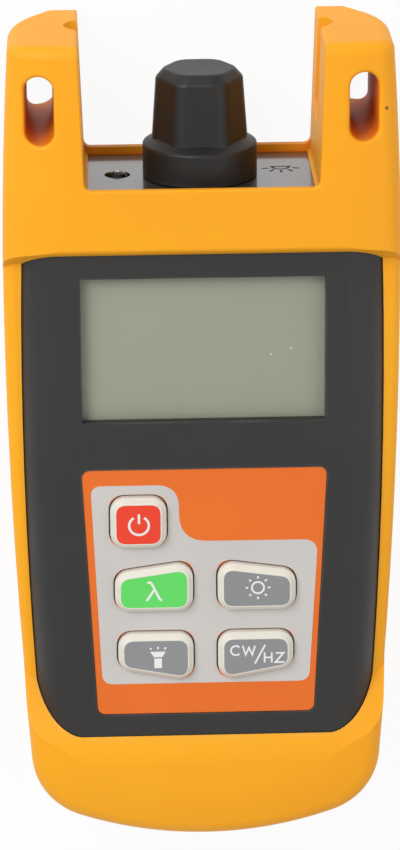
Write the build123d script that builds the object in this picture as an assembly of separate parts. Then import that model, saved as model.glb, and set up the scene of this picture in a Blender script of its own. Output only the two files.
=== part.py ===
from build123d import *
import math
import os

# Handheld optical light source in a rubber boot, lying on its back. Millimetres.
# +Z points out of the keypad face, +Y towards the connector end, +X to the right.
# The origin is the middle of the footprint, on the resting plane.

# Boot: outline in plan
HALF_LENGTH = 87.55          # ear tops and chin both lie this far from the middle
HALF_WIDEST = 40.85
HALF_EAR_TOP = HALF_WIDEST - 2.1
HALF_CHIN = HALF_WIDEST - 3.95
WIDEST_Y = 28.5
CHIN_Y = -74.0               # where HALF_CHIN is measured
FOOT_RADIUS = 80.0
FOOT_CORNER = 15.0

# Boot: heights and edges
BOOT_THICK = 34.6
BACK_INSET = 7.6             # the sides sweep in towards the back by this much
BACK_RISE = 11.0
BACK_BLEND = 22.0
BACK_EDGE = 3.0
CROWN_INSET = 9.0            # band of the front that falls away towards the sides
CROWN_DROP = 1.9
CROWN_BLEND = 30.0
FRONT_EDGE = 4.5
EAR_TOP_EDGE = 2.4

# Boot: gap between the ears, and the window that shows the end of the case
GAP_HALF_TOP = HALF_EAR_TOP - 14.0
GAP_DRAFT = 0.0337           # the gap narrows by this for every millimetre down
WINDOW_FRONT_Y = 57.9
WINDOW_BACK_Y = 58.0
GAP_CORNER = 1.5
GAP_TOP_EDGE = 0.8
GAP_EDGE = 0.5
GROOVE_RADIUS = 4.6          # rounded groove down the inner side of each ear
GROOVE_DEPTH = 2.8
GROOVE_Z = 15.1
GROOVE_FOOT_Y = 71.0         # middle of its rounded foot
SLOT_X = HALF_EAR_TOP - 6.15
SLOT_Y = 74.45
SLOT_LENGTH = 14.2
SLOT_WIDTH = 5.9
SLOT_DRAFT = 1.2             # degrees, from both faces to the middle
SLOT_EDGE = 0.8

# Boot: front opening and the low side rims
RIM_TOP_Z = 29.2             # the rims fall from the forehead to the chin
RIM_FOOT_Z = 26.2
RIM_EDGE = 2.4
SCOOP_DEPTH = 3.0            # the slopes run on this far below the rims
BROW_TOP_Y = 44.9            # top and foot of the slope below the forehead
BROW_FOOT_Y = 41.3
CHIN_TOP_Y = -65.0           # top and foot of the slope above the chin
CHIN_FOOT_Y = -52.5
BROW_BLEND = 1.2
CHIN_BLEND = 14.0
BACK_WINDOW_MARGIN = 2.4     # round the battery cover
BACK_WINDOW_CORNER = 4.0

# Case
BOOT_WALL = 2.2
BOOT_FIT = 0.2
CASE_BACK_Z = 2.0
FACE_Z = 33.0
CASE_END_Y = 56.45
CASE_WALL = 2.2
PART_Z = 17.5                # where front and rear shell meet, and the port's axis
CASE_BACK_INSET = 6.1
CASE_BACK_RISE = 13.5
CASE_SHOULDER = 9.0
CASE_END_EDGE = 0.8
TONGUE_DEPTH = 1.2
TONGUE_FIT = 0.1
LABEL_FIT = 0.1
SCREW_FIT = 0.05
FIT = 0.15                   # general clearance between fitted pieces
LOOSE = 0.3                  # clearance round what moves or drops in

# Display
DISPLAY_Y = 23.27
DISPLAY_WIDTH = 50.1
DISPLAY_HEIGHT = 31.1
PANE_MARGIN = 2.0
PANE_THICK = 0.8
PANEL_MARGIN = 2.6
PANEL_THICK = 1.9
FRAME_MARGIN = 2.2
FRAME_LEDGE = 1.2
BACKLIGHT_THICK = 2.4
STRIP_WIDTH = 2.0
STRIP_LENGTH = 44.0

# Label and keys
LABEL_TOP_Y = -2.8
LABEL_FOOT_Y = -58.05
LABEL_HALF_TOP = 25.5
LABEL_HALF_FOOT = 22.9
LABEL_CORNER = 1.6
LABEL_THICK = 0.4
LABEL_RECESS = 0.6
KEY_GAP = 0.35
KEY_PROUD = 2.1              # above the case face
KEY_BEVEL = 1.0
KEY_BEVEL_DROP = 1.1
KEY_EDGE = 0.3
KEY_CORNER = 3.2
KEY_FLANGE = 0.9
KEY_FLANGE_THICK = 1.0
KEY_TRAVEL = 1.0
KEY_STEM_RADIUS = 2.0
KEY_STEM = 1.2
KEY_INNER_X = 2.6
UPPER_OUTER_X = 18.95
UPPER_FOOT_Y = -34.05
UPPER_TOP_INNER_Y = -23.1
UPPER_TOP_OUTER_Y = -25.45
LOWER_OUTER_X = 18.45
LOWER_TOP_Y = -39.2
LOWER_FOOT_INNER_Y = -50.3
LOWER_FOOT_OUTER_Y = -47.2
POWER_X = -13.85
POWER_Y = -14.1
POWER_WIDTH = 11.7
POWER_HEIGHT = 11.1

# Spring mat
MAT_THICK = 0.8
MAT_HALF_WIDTH = 22.0
MAT_MARGIN = 2.0
DOME_FOOT_RADIUS = 4.2
DOME_TOP_RADIUS = 2.8
DOME_WALL = 0.6
DOME_CLEAR = 0.12            # left between stem and dome when the key is down
CONTACT_THICK = 0.1

# Boards and screws
BOARD_TOP_Z = 24.8
BOARD_THICK = 1.6
BOARD_HALF_WIDTH = 30.5
BOARD_TOP_Y = 49.4
BOARD_FOOT_Y = -64.0
POST_RADIUS = 2.4
POSTS = [(12.0, 46.6), (27.5, -1.0), (27.5, -57.0)]
BOARD_SCREW_RADIUS = 0.9
BOARD_SCREW_HEAD = 2.0
BOARD_SCREW_HEAD_THICK = 1.2
BOARD_SCREW_LENGTH = 5.0
CASE_POSTS = [(27.5, 47.6), (17.0, -70.0)]
CASE_POST_RADIUS = 3.2
CASE_SCREW_RADIUS = 1.25
CASE_SCREW_HEAD = 2.3
CASE_SCREW_HEAD_THICK = 1.8
CASE_SCREW_SEAT_Z = 9.0
CASE_SCREW_LENGTH = 15.0

# Larger parts on the board: middle x and y, width, length and height
CHIPS = [
    (0.0, -2.0, 10.0, 10.0, 1.4),
    (13.0, 10.0, 6.0, 5.0, 1.5),
    (-14.0, 14.0, 5.0, 6.5, 1.8),
    (-9.0, 30.0, 4.9, 3.9, 1.5),
    (10.0, 30.0, 7.0, 4.0, 1.8),
    (18.0, 24.0, 3.0, 3.0, 2.0),
]

# Battery bay and cover
CELL_RADIUS = 7.1
CELL_LENGTH = 49.5
CELL_NUB_RADIUS = 2.7
CELL_NUB = 1.0
CELL_PITCH = 14.9
BAY_SIDE_ROOM = 1.0
BAY_TOP_Y = -4.5
BAY_WALL = 1.2
PLATE_THICK = 0.4
SPRING_LENGTH = 5.6
COVER_THICK = 2.0
COVER_MARGIN = 1.5           # overlap on the ledge round the bay
GRIP_LINES = 5               # ridges for the thumb, near the foot of the cover
GRIP_PITCH = 2.2
GRIP_WIDTH = 1.0
GRIP_DEPTH = 0.5
GRIP_LENGTH = 18.0
GRIP_FOOT = 4.4              # from the foot of the cover to the first ridge
PIN_RADIUS = 0.7
PIN_LENGTH = 1.4
PIN_WALL = 1.0
SPRING_HALF_WIDTH = 5.0
SPRING_THICK = 0.4
SPRING_HEIGHT = 7.0
PLATE_SIZE = 11.0

# Optical port
PORT_FLANGE_RADIUS = 8.8
PORT_FLANGE_THICK = 4.0
PORT_FLANGE_EDGE = 0.4
BARREL_RADIUS = 4.0
BARREL_LENGTH = 9.0
BARREL_BORE = 2.8
BARREL_BORE_DEPTH = 11.0
SPIGOT_RADIUS = 6.0
SPIGOT_LENGTH = 6.2
KEY_SLOT_WIDTH = 2.1
KEY_SLOT_DEPTH = 2.2
SLEEVE_RADIUS = 1.6
SLEEVE_BORE = 1.26
SLEEVE_LENGTH = 11.4
SLEEVE_SLIT = 0.4
NUT_ACROSS_CORNERS = 16.5
NUT_THICK = 3.0
MODULE_RADIUS = 3.5
MODULE_LENGTH = 12.0
FERRULE_RADIUS = 1.22
FERRULE_LENGTH = 7.0

# Torch lamp
LAMP_X = -17.0
LAMP_RADIUS = 2.5
LAMP_PROUD = 0.9
LAMP_LENGTH = 8.6
LAMP_FLANGE_RADIUS = 2.9
LAMP_FLANGE_THICK = 1.0
LEAD_RADIUS = 0.25
LEAD_PITCH = 2.54
LEAD_REACH = 3.0

# Dust cap
CAP_COLLAR_RADIUS = 11.75
CAP_COLLAR_HEIGHT = 6.6
CAP_SHOULDER = 1.3
CAP_GRIP_FOOT = 9.9          # to the corners of the six-sided grip
CAP_GRIP_TOP = 8.93
CAP_FACE = 7.24
CAP_GRIP_TOP_Y = 77.1
CAP_TOP_Y = 79.0
CAP_GRIP_CORNER = 4.0
CAP_CROWN_EDGE = 1.2
CAP_TOP_EDGE = 0.8
CAP_BORE_TOP_Y = 71.5
CAP_FIT = 0.15

# Sizes that follow from those above
CELL_Z = CASE_BACK_Z + COVER_THICK + LOOSE + CELL_RADIUS
BAY_HALF_WIDTH = CELL_PITCH + CELL_RADIUS + BAY_SIDE_ROOM
BAY_LENGTH = CELL_LENGTH + CELL_NUB + SPRING_LENGTH + 2 * PLATE_THICK
BAY_FOOT_Y = BAY_TOP_Y - BAY_LENGTH
BAY_CEILING_Z = CELL_Z + CELL_RADIUS + LOOSE
COVER_HALF_WIDTH = BAY_HALF_WIDTH + COVER_MARGIN
COVER_TOP_Y = BAY_TOP_Y + COVER_MARGIN
COVER_FOOT_Y = BAY_FOOT_Y - COVER_MARGIN
PIVOT_Y = COVER_TOP_Y - COVER_THICK / 2
PIVOT_Z = CASE_BACK_Z + COVER_THICK / 2
INNER_FACE_Z = FACE_Z - CASE_WALL
BOARD_FOOT_Z = BOARD_TOP_Z - BOARD_THICK
KEY_TOP_Z = FACE_Z + KEY_PROUD
FLANGE_TOP_Z = INNER_FACE_Z - FIT
STEM_FOOT_Z = FLANGE_TOP_Z - KEY_FLANGE_THICK - KEY_STEM
DOME_TOP_Z = STEM_FOOT_Z - KEY_TRAVEL - DOME_CLEAR
CAP_FOOT_Y = CASE_END_Y + LOOSE
OVER = 5.0                   # cuts run this far past the faces they open
TINY = 0.01                  # places closer than this are the same
BIG = 4 * HALF_LENGTH


def block(x0, x1, y0, y1, z0, z1):
    """A box between two corners."""
    centre = Pos((x0 + x1) / 2, (y0 + y1) / 2, (z0 + z1) / 2)
    return centre * Box(x1 - x0, y1 - y0, z1 - z0)


def rod(x, y, z0, z1, radius):
    """A round bar along Z."""
    return Pos(x, y, (z0 + z1) / 2) * Cylinder(radius, z1 - z0)


def along_y(x, y, z):
    """Turns a piece drawn along Z to lie along Y, with its foot at this point."""
    return Pos(x, y, z) * Rot(-90, 0, 0)


def bar_y(x, z, y0, y1, radius):
    """A round bar along Y."""
    return along_y(x, (y0 + y1) / 2, z) * Cylinder(radius, y1 - y0)


def mirrored(points):
    """The same places on both sides of the middle."""
    return [(side * x, y) for x, y in points for side in (-1, 1)]


def circles_meet(c1, r1, c2, r2):
    """The lower of the two points where two circles meet."""
    dx = c2[0] - c1[0]
    dy = c2[1] - c1[1]
    gap = math.hypot(dx, dy)
    along = (gap**2 + r1**2 - r2**2) / (2 * gap)
    across = math.sqrt(r1**2 - along**2)
    mid = (c1[0] + along * dx / gap, c1[1] + along * dy / gap)
    ends = [
        (mid[0] + across * dy / gap, mid[1] - across * dx / gap),
        (mid[0] - across * dy / gap, mid[1] + across * dx / gap),
    ]
    return min(ends, key=lambda point: point[1])


def side_arc(reach_y, half):
    """Centre and radius of the side's arc that is widest at WIDEST_Y and half wide at reach_y."""
    rise = abs(reach_y - WIDEST_Y)
    drop = HALF_WIDEST - half
    radius = (rise**2 + drop**2) / (2 * drop)
    return (HALF_WIDEST - radius, WIDEST_Y), radius


UPPER_CENTRE, UPPER_RADIUS = side_arc(HALF_LENGTH, HALF_EAR_TOP)
LOWER_CENTRE, LOWER_RADIUS = side_arc(CHIN_Y, HALF_CHIN)


def side_x(y, inset):
    """Half the width at y, set in from the boot's outside."""
    centre, radius = (UPPER_CENTRE, UPPER_RADIUS) if y > WIDEST_Y else (LOWER_CENTRE, LOWER_RADIUS)
    return centre[0] + math.sqrt((radius - inset)**2 - (y - centre[1])**2)


def on_ray(centre, through, radius):
    """The point at this radius from centre, towards another point."""
    dx = through[0] - centre[0]
    dy = through[1] - centre[1]
    length = math.hypot(dx, dy)
    return (centre[0] + radius * dx / length, centre[1] + radius * dy / length)


FOOT_CENTRE = (0, FOOT_RADIUS - HALF_LENGTH)
CORNER_CENTRE = circles_meet(LOWER_CENTRE, LOWER_RADIUS - FOOT_CORNER, FOOT_CENTRE, FOOT_RADIUS - FOOT_CORNER)


def plan(inset, end_y):
    """The outline in plan, set in evenly from the boot's outside, with a straight end at end_y."""
    upper_mid_y = (end_y + WIDEST_Y) / 2
    side_end = on_ray(LOWER_CENTRE, CORNER_CENTRE, LOWER_RADIUS - inset)
    foot_end = on_ray(FOOT_CENTRE, CORNER_CENTRE, FOOT_RADIUS - inset)
    lower_mid_y = (side_end[1] + WIDEST_Y) / 2
    halfway = ((side_end[0] + foot_end[0]) / 2, (side_end[1] + foot_end[1]) / 2)
    corner_mid = on_ray(CORNER_CENTRE, halfway, FOOT_CORNER - inset)
    widest = (HALF_WIDEST - inset, WIDEST_Y)
    right = [
        ((side_x(end_y, inset), end_y), (side_x(upper_mid_y, inset), upper_mid_y), widest),
        (widest, (side_x(lower_mid_y, inset), lower_mid_y), side_end),
        (side_end, corner_mid, foot_end),
    ]
    edges = [ThreePointArc(*points) for points in right]
    edges += [ThreePointArc(*[(-x, y) for x, y in points]) for points in right]
    edges.append(ThreePointArc(foot_end, (0, inset - HALF_LENGTH), (-foot_end[0], foot_end[1])))
    edges.append(Line((-side_x(end_y, inset), end_y), (side_x(end_y, inset), end_y)))
    return make_face(edges)


def level_at(edge, z):
    """Whether an edge lies flat at this height."""
    return all(abs((edge @ t).Z - z) < TINY for t in (0, 0.5, 1))


def rim(solid, z, end_y):
    """The edges at height z, apart from the one on the straight end."""
    return [e for e in solid.edges() if level_at(e, z) and abs((e @ 0.5).Y - end_y) > TINY]


def floor_face(solid):
    return solid.faces().sort_by(Axis.Z)[0]


def roof_face(solid):
    return solid.faces().sort_by(Axis.Z)[-1]


def case_form(grow):
    """The closed outside form of the case, grown by this much on every side."""
    inset = BOOT_WALL + BOOT_FIT - grow
    end_y = CASE_END_Y + grow
    low = CASE_BACK_Z - grow
    high = FACE_Z + grow
    form = extrude(Pos(0, 0, low) * plan(inset, end_y), high - low)
    form = fillet(rim(form, high, end_y), CASE_SHOULDER + grow)
    form = chamfer(rim(form, low, end_y), CASE_BACK_INSET, CASE_BACK_RISE, reference=floor_face(form))
    end_edge = [e for e in form.edges() if abs((e @ 0.5).Z - low) < TINY and abs((e @ 0.5).Y - end_y) < TINY]
    return fillet(end_edge, CASE_END_EDGE)


def boot_form():
    """The boot's outside, before anything is cut from it."""
    form = extrude(plan(0, HALF_LENGTH), BOOT_THICK)
    form = chamfer(rim(form, 0, HALF_LENGTH), BACK_INSET, BACK_RISE, reference=floor_face(form))
    form = fillet(rim(form, BACK_RISE, HALF_LENGTH), BACK_BLEND)
    form = fillet(rim(form, 0, HALF_LENGTH), BACK_EDGE)
    form = chamfer(rim(form, BOOT_THICK, HALF_LENGTH), CROWN_INSET, CROWN_DROP, reference=roof_face(form))
    form = fillet(rim(form, BOOT_THICK - CROWN_DROP, HALF_LENGTH), FRONT_EDGE)
    return fillet(rim(form, BOOT_THICK, HALF_LENGTH), CROWN_BLEND)


def ear_gap(foot_y, low, high):
    """The space between the ears, down to foot_y, between two heights."""
    top_y = HALF_LENGTH + OVER
    foot_x = GAP_HALF_TOP - (HALF_LENGTH - foot_y) * GAP_DRAFT
    right = [(foot_x, foot_y), (GAP_HALF_TOP, HALF_LENGTH),
             (HALF_EAR_TOP, HALF_LENGTH), (HALF_EAR_TOP, top_y)]
    left = [(-x, y) for x, y in reversed(right)]
    face = make_face(Polyline(*right, *left, close=True))
    face = fillet([v for v in face.vertices() if v.Y < foot_y + FIT], GAP_CORNER)
    at_top = [v for v in face.vertices() if v.Y > foot_y + GAP_CORNER and abs(v.X) < HALF_EAR_TOP - FIT]
    face = fillet(at_top, GAP_TOP_EDGE)
    return extrude(Pos(0, 0, low) * face, high - low)


def gap_rim(solid):
    """The edges where the gap between the ears opens in the front."""
    level = [e for e in solid.edges() if level_at(e, BOOT_THICK)]
    return [e for e in level if (e @ 0.5).Y > WINDOW_FRONT_Y - TINY and abs((e @ 0.5).X) < GAP_HALF_TOP]


def slot_rims(solid):
    """The edges where the slots open in the front."""
    def near(point):
        return (point.Z > BOOT_THICK - CROWN_DROP and abs(point.Y - SLOT_Y) < SLOT_LENGTH / 2 + TINY
                and abs(abs(point.X) - SLOT_X) < SLOT_WIDTH / 2 + TINY)
    return [e for e in solid.edges() if near(e @ 0) and near(e @ 0.5)]


def ear_slot(x):
    """The slot through an ear, narrowing from both faces to the middle."""
    face = SlotOverall(SLOT_LENGTH, SLOT_WIDTH, rotation=90)
    front = extrude(Pos(x, SLOT_Y, BOOT_THICK) * face, -BOOT_THICK / 2, taper=SLOT_DRAFT)
    back = extrude(Pos(x, SLOT_Y, 0) * face, BOOT_THICK / 2, taper=SLOT_DRAFT)
    return front + back


def eased(before, corner, after, radius):
    """A corner of a profile, rounded: the start, middle and end of its arc."""
    start = on_ray(corner, before, 1)
    end = on_ray(corner, after, 1)
    toward = (start[0] + end[0] - 2 * corner[0], start[1] + end[1] - 2 * corner[1])
    half_angle = math.acos(math.hypot(*toward) / 2)
    reach = radius / math.tan(half_angle)
    middle = radius / math.sin(half_angle) - radius
    return (on_ray(corner, before, reach),
            on_ray(corner, (corner[0] + toward[0], corner[1] + toward[1]), middle),
            on_ray(corner, after, reach))


def scoop():
    """What is cut from the front between forehead and chin."""
    low = RIM_FOOT_Z - SCOOP_DEPTH
    high = BOOT_THICK + OVER
    brow = (BROW_TOP_Y - BROW_FOOT_Y) / (BOOT_THICK - RIM_TOP_Z)
    chin = (CHIN_TOP_Y - CHIN_FOOT_Y) / (BOOT_THICK - RIM_FOOT_Z)
    brow_foot = (BROW_FOOT_Y - brow * (RIM_TOP_Z - low), low)
    chin_foot = (CHIN_FOOT_Y - chin * SCOOP_DEPTH, low)
    brow_arc = eased(brow_foot, (BROW_TOP_Y, BOOT_THICK), (HALF_LENGTH, BOOT_THICK), BROW_BLEND)
    chin_arc = eased(chin_foot, (CHIN_TOP_Y, BOOT_THICK), (-HALF_LENGTH, BOOT_THICK), CHIN_BLEND)
    over = Polyline(brow_arc[2], (brow_arc[2][0], high), (chin_arc[2][0], high), chin_arc[2])
    profile = make_face([Polyline(chin_arc[0], chin_foot, brow_foot, brow_arc[0]),
                         ThreePointArc(*brow_arc), over, ThreePointArc(*chin_arc)])
    return extrude(Plane.YZ * profile, BIG, both=True)


def low_sides():
    """The boot's outline up to the falling side rims, with their rounded outer edge."""
    fall = (RIM_TOP_Z - RIM_FOOT_Z) / (BROW_FOOT_Y - CHIN_FOOT_Y)
    foot = (-BIG, RIM_FOOT_Z - fall * (BIG + CHIN_FOOT_Y))
    top = (BIG, RIM_TOP_Z + fall * (BIG - BROW_FOOT_Y))
    above = make_face(Polyline(foot, top, (BIG, BIG), (-BIG, BIG), close=True))
    form = extrude(plan(0, HALF_LENGTH), BOOT_THICK) - extrude(Plane.YZ * above, BIG, both=True)
    edges = [e for e in roof_face(form).edges() if abs((e @ 0.5).Y - HALF_LENGTH) > TINY]
    return fillet(edges, RIM_EDGE)


def rounded_rectangle(x0, x1, y0, y1, corner):
    return Pos((x0 + x1) / 2, (y0 + y1) / 2) * RectangleRounded(x1 - x0, y1 - y0, corner)


def make_boot():
    """The rubber boot: one moulding round the case, with two slotted ears."""
    body = boot_form()
    body = fillet(body.faces().sort_by(Axis.Y)[-1].edges(), EAR_TOP_EDGE)
    body -= ear_gap(WINDOW_FRONT_Y, PART_Z, BOOT_THICK + OVER)
    body = fillet(gap_rim(body), GAP_EDGE)
    body -= ear_gap(WINDOW_BACK_Y, -OVER, PART_Z)
    for side in (-1, 1):
        body -= ear_slot(side * SLOT_X)
    body = fillet(slot_rims(body), SLOT_EDGE)
    body -= scoop() - low_sides()
    for side in (-1, 1):
        groove_x = side * (GAP_HALF_TOP + GROOVE_DEPTH - GROOVE_RADIUS)
        body -= bar_y(groove_x, GROOVE_Z, GROOVE_FOOT_Y, HALF_LENGTH + OVER, GROOVE_RADIUS)
        body -= Pos(groove_x, GROOVE_FOOT_Y, GROOVE_Z) * Sphere(GROOVE_RADIUS)
    body -= case_form(BOOT_FIT)
    body -= ear_gap(CASE_END_Y, CASE_BACK_Z - BOOT_FIT, FACE_Z + BOOT_FIT)
    window = rounded_rectangle(
        -COVER_HALF_WIDTH - BACK_WINDOW_MARGIN, COVER_HALF_WIDTH + BACK_WINDOW_MARGIN,
        COVER_FOOT_Y - BACK_WINDOW_MARGIN, COVER_TOP_Y + BACK_WINDOW_MARGIN, BACK_WINDOW_CORNER)
    return body - extrude(Pos(0, 0, -OVER) * window, OVER + CASE_BACK_Z)


def case_shell():
    """The whole case as a hollow wall, before it is split at the parting line."""
    return case_form(0) - case_form(-CASE_WALL)


def tongue(gap):
    """The inner half of the wall just below the parting line, less a clearance."""
    ring = case_form(-CASE_WALL / 2 - gap) - case_form(-CASE_WALL)
    return ring & block(-BIG, BIG, -BIG, BIG, PART_Z - TONGUE_DEPTH + gap, PART_Z)


def end_holes():
    """The holes in the end wall that port and torch lamp pass through."""
    port = bar_y(0, PART_Z, BOARD_TOP_Y, CASE_END_Y + OVER, SPIGOT_RADIUS + FIT)
    lamp = bar_y(LAMP_X, PART_Z, BOARD_TOP_Y, CASE_END_Y + OVER, LAMP_RADIUS + FIT)
    return port + lamp


def label_face(grow):
    half_top = LABEL_HALF_TOP + grow
    half_foot = LABEL_HALF_FOOT + grow
    top_y = LABEL_TOP_Y + grow
    foot_y = LABEL_FOOT_Y - grow
    face = make_face(Polyline((-half_top, top_y), (half_top, top_y),
                              (half_foot, foot_y), (-half_foot, foot_y), close=True))
    return fillet(face.vertices(), LABEL_CORNER + grow)


def key_points():
    """The corners of each key, at the level of the label."""
    half_w = POWER_WIDTH / 2
    half_h = POWER_HEIGHT / 2
    upper = [(KEY_INNER_X, UPPER_FOOT_Y), (UPPER_OUTER_X, UPPER_FOOT_Y),
             (UPPER_OUTER_X, UPPER_TOP_OUTER_Y), (KEY_INNER_X, UPPER_TOP_INNER_Y)]
    lower = [(KEY_INNER_X, LOWER_TOP_Y), (LOWER_OUTER_X, LOWER_TOP_Y),
             (LOWER_OUTER_X, LOWER_FOOT_OUTER_Y), (KEY_INNER_X, LOWER_FOOT_INNER_Y)]
    return {
        "key_power": [(POWER_X - half_w, POWER_Y - half_h), (POWER_X + half_w, POWER_Y - half_h),
                      (POWER_X + half_w, POWER_Y + half_h), (POWER_X - half_w, POWER_Y + half_h)],
        "key_wavelength": [(-x, y) for x, y in upper],
        "key_display_light": upper,
        "key_torch": [(-x, y) for x, y in lower],
        "key_mode": lower,
    }


def key_face(points, grow):
    """A key's rounded outline, grown evenly."""
    face = make_face(Polyline(*points, close=True))
    face = fillet(face.vertices(), KEY_CORNER)
    return offset(face, grow) if grow else face


def key_centre(points):
    xs = [x for x, y in points]
    ys = [y for x, y in points]
    return (min(xs) + max(xs)) / 2, (min(ys) + max(ys)) / 2


def make_key(points):
    """A key: bevelled cap, flange that keeps it in the shell, and stem above its dome."""
    flange_foot_z = FLANGE_TOP_Z - KEY_FLANGE_THICK
    cap = extrude(Pos(0, 0, flange_foot_z) * key_face(points, 0), KEY_TOP_Z - flange_foot_z)
    roof = roof_face(cap)
    cap = chamfer(roof.edges(), KEY_BEVEL, KEY_BEVEL_DROP, reference=roof)
    cap = fillet(roof_face(cap).edges(), KEY_EDGE)
    flange = extrude(Pos(0, 0, flange_foot_z) * key_face(points, KEY_FLANGE), KEY_FLANGE_THICK)
    x, y = key_centre(points)
    return cap + flange + rod(x, y, STEM_FOOT_Z, flange_foot_z, KEY_STEM_RADIUS)


def make_front_shell(keys):
    """The front shell: face, display opening, key holes, posts and the tongue at its edge."""
    body = case_shell() & block(-BIG, BIG, -BIG, BIG, PART_Z, BIG)
    body += tongue(TONGUE_FIT)
    for x, y in mirrored(CASE_POSTS):
        body += rod(x, y, PART_Z, INNER_FACE_Z, CASE_POST_RADIUS)
        depth_z = CASE_SCREW_SEAT_Z + CASE_SCREW_LENGTH + LOOSE
        body -= rod(x, y, PART_Z, depth_z, CASE_SCREW_RADIUS + SCREW_FIT)
    for x, y in mirrored(POSTS):
        body += rod(x, y, BOARD_TOP_Z, INNER_FACE_Z, POST_RADIUS)
        depth_z = BOARD_FOOT_Z + BOARD_SCREW_LENGTH + LOOSE
        body -= rod(x, y, BOARD_TOP_Z, depth_z, BOARD_SCREW_RADIUS + SCREW_FIT)
    half_w = DISPLAY_WIDTH / 2
    half_h = DISPLAY_HEIGHT / 2
    body -= block(-half_w, half_w, DISPLAY_Y - half_h, DISPLAY_Y + half_h, INNER_FACE_Z, FACE_Z + OVER)
    body -= extrude(Pos(0, 0, FACE_Z - LABEL_RECESS) * label_face(LABEL_FIT), LABEL_RECESS + OVER)
    for points in keys.values():
        body -= extrude(Pos(0, 0, INNER_FACE_Z) * key_face(points, KEY_GAP), CASE_WALL + OVER)
    return body - end_holes()


def make_rear_shell():
    """The rear shell: battery bay, screw posts and the rebate that takes the tongue."""
    body = case_shell() & block(-BIG, BIG, -BIG, BIG, -BIG, PART_Z)
    body -= tongue(0)
    ledge_z = CASE_BACK_Z + COVER_THICK + FIT
    ledge_half = COVER_HALF_WIDTH + PIN_LENGTH + PIN_WALL
    body += block(-ledge_half, ledge_half, COVER_FOOT_Y - BAY_WALL, COVER_TOP_Y + BAY_WALL,
                  CASE_BACK_Z, ledge_z + BAY_WALL)
    bay_half = BAY_HALF_WIDTH + BAY_WALL
    body += block(-bay_half, bay_half, BAY_FOOT_Y - BAY_WALL, BAY_TOP_Y + BAY_WALL,
                  CASE_BACK_Z, BAY_CEILING_Z + BAY_WALL)
    body -= block(-BAY_HALF_WIDTH, BAY_HALF_WIDTH, BAY_FOOT_Y, BAY_TOP_Y, -OVER, BAY_CEILING_Z)
    body -= block(-COVER_HALF_WIDTH - LOOSE, COVER_HALF_WIDTH + LOOSE,
                  COVER_FOOT_Y - LOOSE, COVER_TOP_Y + LOOSE, -OVER, ledge_z)
    pin_reach = COVER_HALF_WIDTH + PIN_LENGTH + FIT
    body -= Pos(0, PIVOT_Y, PIVOT_Z) * Rot(0, 90, 0) * Cylinder(PIN_RADIUS + FIT, 2 * pin_reach)
    for x, y in mirrored(CASE_POSTS):
        body += rod(x, y, CASE_BACK_Z, PART_Z, CASE_POST_RADIUS)
        body -= rod(x, y, -OVER, CASE_SCREW_SEAT_Z, CASE_SCREW_HEAD + FIT)
        body -= rod(x, y, CASE_SCREW_SEAT_Z, PART_Z, CASE_SCREW_RADIUS + FIT)
    return body - end_holes()


def display_block(margin, low, high):
    """A rectangle round the display opening, between two heights."""
    half_w = DISPLAY_WIDTH / 2 + margin
    half_h = DISPLAY_HEIGHT / 2 + margin
    return block(-half_w, half_w, DISPLAY_Y - half_h, DISPLAY_Y + half_h, low, high)


def make_display():
    """Window pane, liquid crystal panel, frame, backlight and connector strip."""
    pane_foot_z = INNER_FACE_Z - PANE_THICK
    panel_top_z = pane_foot_z - FIT
    panel_foot_z = panel_top_z - PANEL_THICK
    well = PANEL_MARGIN - FRAME_LEDGE
    frame = display_block(PANEL_MARGIN + FRAME_MARGIN, BOARD_TOP_Z, panel_top_z)
    frame -= display_block(PANEL_MARGIN + FIT, panel_foot_z, panel_top_z)
    frame -= display_block(well, BOARD_TOP_Z, panel_top_z)
    half_w = DISPLAY_WIDTH / 2 + well - FIT
    foot_y = DISPLAY_Y - DISPLAY_HEIGHT / 2 - well + FIT
    top_y = DISPLAY_Y + DISPLAY_HEIGHT / 2 + well - FIT
    strip_top_y = foot_y + STRIP_WIDTH
    light = block(-half_w, half_w, strip_top_y + LOOSE, top_y, BOARD_TOP_Z, BOARD_TOP_Z + BACKLIGHT_THICK)
    strip = block(-STRIP_LENGTH / 2, STRIP_LENGTH / 2, foot_y, strip_top_y, BOARD_TOP_Z, panel_foot_z)
    return {
        "display_pane": display_block(PANE_MARGIN, pane_foot_z, INNER_FACE_Z),
        "display_panel": display_block(PANEL_MARGIN, panel_foot_z, panel_top_z),
        "display_frame": frame,
        "display_backlight": light,
        "display_connector": strip,
    }


def make_label(keys):
    """The face label, with a hole round each key."""
    label = extrude(Pos(0, 0, FACE_Z - LABEL_RECESS) * label_face(0), LABEL_THICK)
    for points in keys.values():
        label -= extrude(Pos(0, 0, FACE_Z - OVER) * key_face(points, KEY_GAP), 2 * OVER)
    return label


def make_spring_mat(keys):
    """A silicone sheet on the board, with a hollow dome under each key."""
    top_y = POWER_Y + POWER_HEIGHT / 2 + MAT_MARGIN
    mat = block(-MAT_HALF_WIDTH, MAT_HALF_WIDTH, LOWER_FOOT_INNER_Y - MAT_MARGIN, top_y,
                BOARD_TOP_Z, BOARD_TOP_Z + MAT_THICK)
    sheet_top_z = BOARD_TOP_Z + MAT_THICK
    height = DOME_TOP_Z - sheet_top_z
    hollow_height = DOME_TOP_Z - DOME_WALL - BOARD_TOP_Z
    for points in keys.values():
        x, y = key_centre(points)
        mat += Pos(x, y, sheet_top_z + height / 2) * Cone(DOME_FOOT_RADIUS, DOME_TOP_RADIUS, height)
        hollow = Cone(DOME_FOOT_RADIUS - DOME_WALL, DOME_TOP_RADIUS - DOME_WALL, hollow_height)
        mat -= Pos(x, y, BOARD_TOP_Z + hollow_height / 2) * hollow
    return mat


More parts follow.
